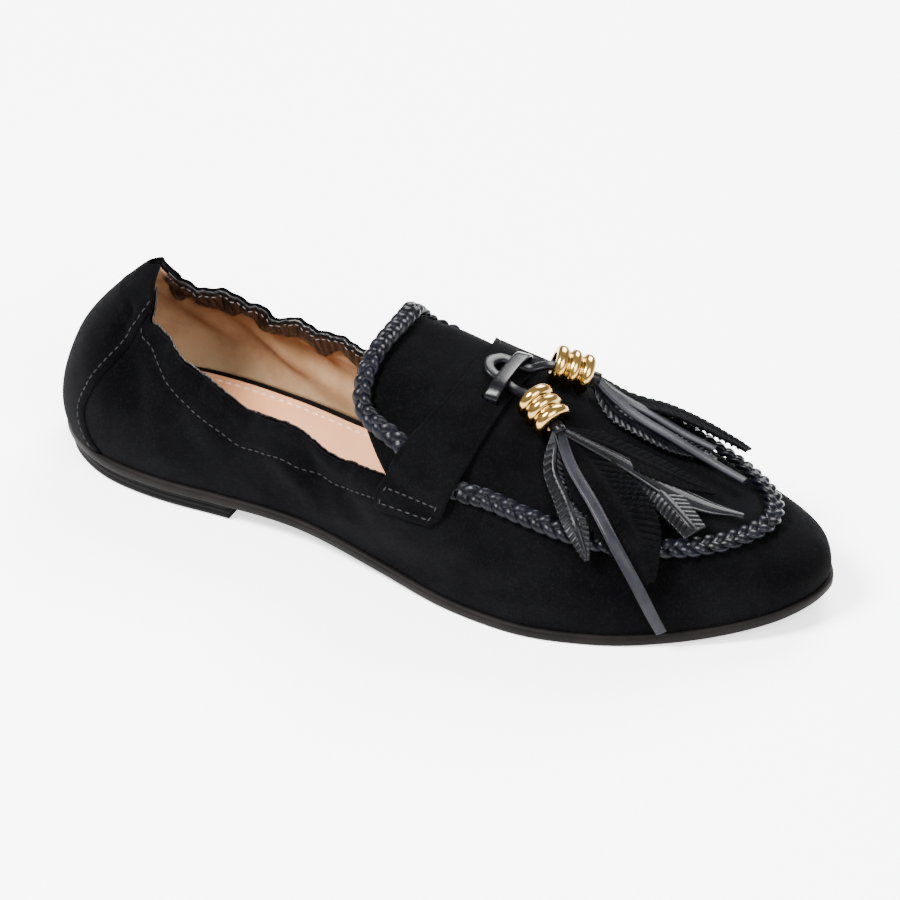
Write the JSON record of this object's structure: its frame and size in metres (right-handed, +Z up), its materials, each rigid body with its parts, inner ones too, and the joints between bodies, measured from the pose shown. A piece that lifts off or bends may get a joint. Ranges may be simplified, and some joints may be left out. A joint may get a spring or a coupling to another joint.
{
  "type": "suede loafer",
  "caption": "Slip-on suede loafer with a low heel, elasticated collar, plaited leather cord around the apron, stitched saddle strap and two metal-beaded feather tassels",
  "frame": {"origin": "on the floor under the centre of the heel", "axes": "+X to the toe, +Y to the wearer's left (the inner side of this right shoe), +Z up"},
  "size_m": [0.2514, 0.0854, 0.0696],
  "materials": {
    "outsole": "smooth dark brown-black edge, matt tread",
    "heel": "stacked, matt",
    "footbed": "smooth black edge",
    "insole_pad": "smooth peach-tan lining leather",
    "upper": "black suede nap outside, beige lining inside",
    "heel_counter": "black suede",
    "braid": "glossy blue-black plaited leather",
    "saddle_strap": "black suede, stitched ends",
    "lace_keeper": "glossy black leather",
    "tie": "glossy black leather",
    "bead_lateral": "polished gold-coloured metal",
    "bead_medial": "polished gold-coloured metal",
    "tassel_lateral": "black leather and suede leaves",
    "tassel_medial": "black leather and suede leaves"
  },
  "bodies": {
    "root": {"outsole": "outsole", "heel": "heel", "footbed": "footbed", "insole_pad": "insole_pad", "upper": "upper", "heel_counter": "heel_counter", "braid": "braid", "saddle_strap": "saddle_strap", "lace_keeper": "lace_keeper", "tie": "tie", "bead_lateral": "bead_lateral", "bead_medial": "bead_medial", "tassel_lateral": "tassel_lateral", "tassel_medial": "tassel_medial"}
  },
  "joints": []
}
